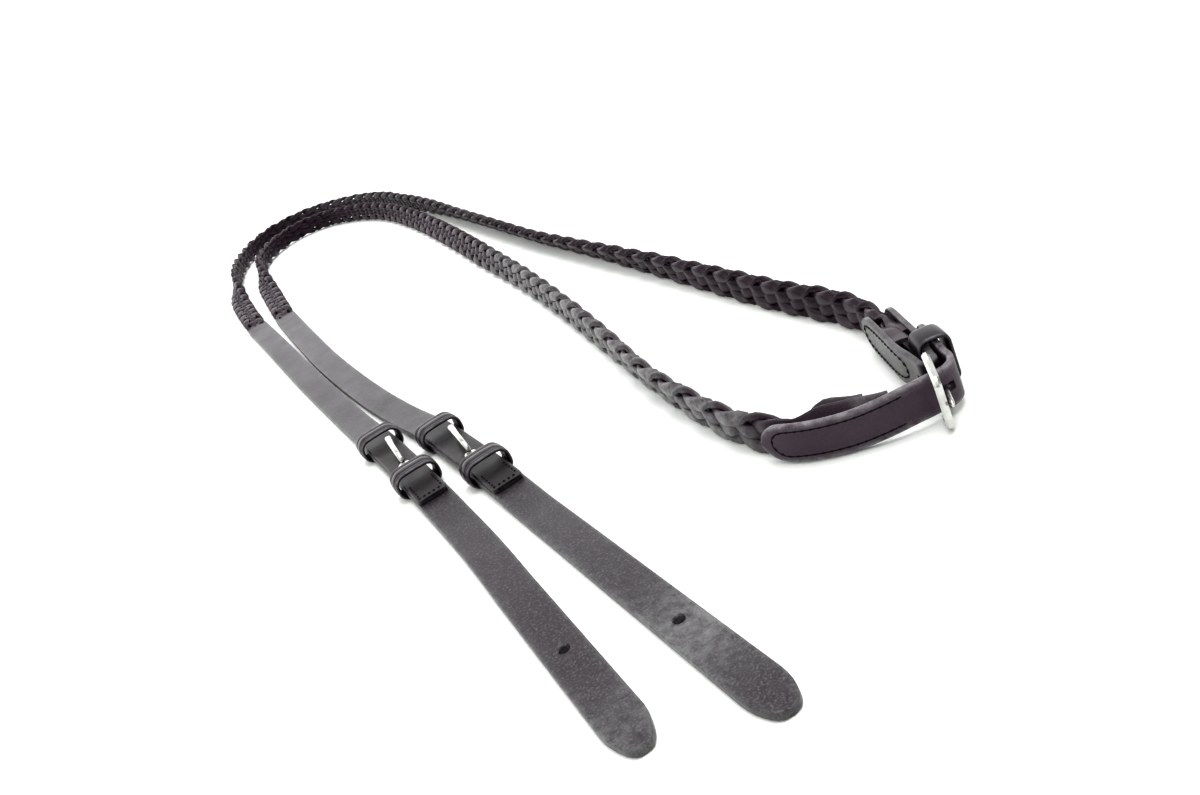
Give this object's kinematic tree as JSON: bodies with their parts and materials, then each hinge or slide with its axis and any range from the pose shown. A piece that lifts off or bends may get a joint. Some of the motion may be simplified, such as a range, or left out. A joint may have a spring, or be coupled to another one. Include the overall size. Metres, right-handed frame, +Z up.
{
  "type": "leather reins",
  "caption": "Plaited leather riding reins lying in a loop: flat bit straps with hook-stud billets and fixed keepers, plaited hand part, and a small buckle joining the halves.",
  "frame": {"origin": "middle of the bottom of the reins' box as they lie on a table, on z = 0", "axes": "+Z up from the table, +Y from the bit ends and the buckle towards the far bend, +X from the bit straps towards the buckle"},
  "size_m": [0.1625, 0.7798, 0.017],
  "materials": {
    "strap_leather": "smooth flat black leather with a slight brown-purple tint, fine grain and a soft sheen",
    "plaited_leather": "black leather strands with a waxy sheen",
    "keeper_leather": "black leather with creased edges and a soft sheen",
    "thread": "dark waxed stitching thread",
    "steel": "polished nickel-plated steel"
  },
  "bodies": {
    "reins": {"left_plait": "plaited_leather", "left_bit_strap": "strap_leather", "left_stay": "strap_leather", "left_stay_thread": "thread", "left_upper_keeper": "keeper_leather", "left_lower_keeper": "keeper_leather", "left_hook_stud": "steel", "right_plait": "plaited_leather", "right_bit_strap": "strap_leather", "right_stay": "strap_leather", "right_stay_thread": "thread", "right_upper_keeper": "keeper_leather", "right_lower_keeper": "keeper_leather", "right_hook_stud": "steel", "chape": "keeper_leather", "chape_thread": "thread", "centre_keeper": "keeper_leather", "hand_strap": "strap_leather", "hand_strap_thread": "thread"},
    "left_billet": {"left_billet": "strap_leather"},
    "right_billet": {"right_billet": "strap_leather"},
    "buckle_frame": {"buckle_frame": "steel"},
    "buckle_tongue": {"buckle_tongue": "steel"}
  },
  "joints": [
    {"name": "left_billet_fold", "type": "hinge", "parent": "reins", "child": "left_billet", "pos_m": [-0.0685, -0.247, 0.0073], "axis": [-0.9984, 0.0558, 0], "range_deg": [0, 180]},
    {"name": "right_billet_fold", "type": "hinge", "parent": "reins", "child": "right_billet", "pos_m": [-0.0471, -0.268, 0.0073], "axis": [-1, 0, 0], "range_deg": [0, 180]},
    {"name": "buckle_frame_rock", "type": "hinge", "parent": "reins", "child": "buckle_frame", "pos_m": [0.0544, -0.3277, 0.0085], "axis": [0, 0, 1], "range_deg": [-20, 0]},
    {"name": "buckle_tongue_lift", "type": "hinge", "parent": "reins", "child": "buckle_tongue", "pos_m": [0.0544, -0.3277, 0.0085], "axis": [0, 0, 1], "range_deg": [0, 8]}
  ]
}
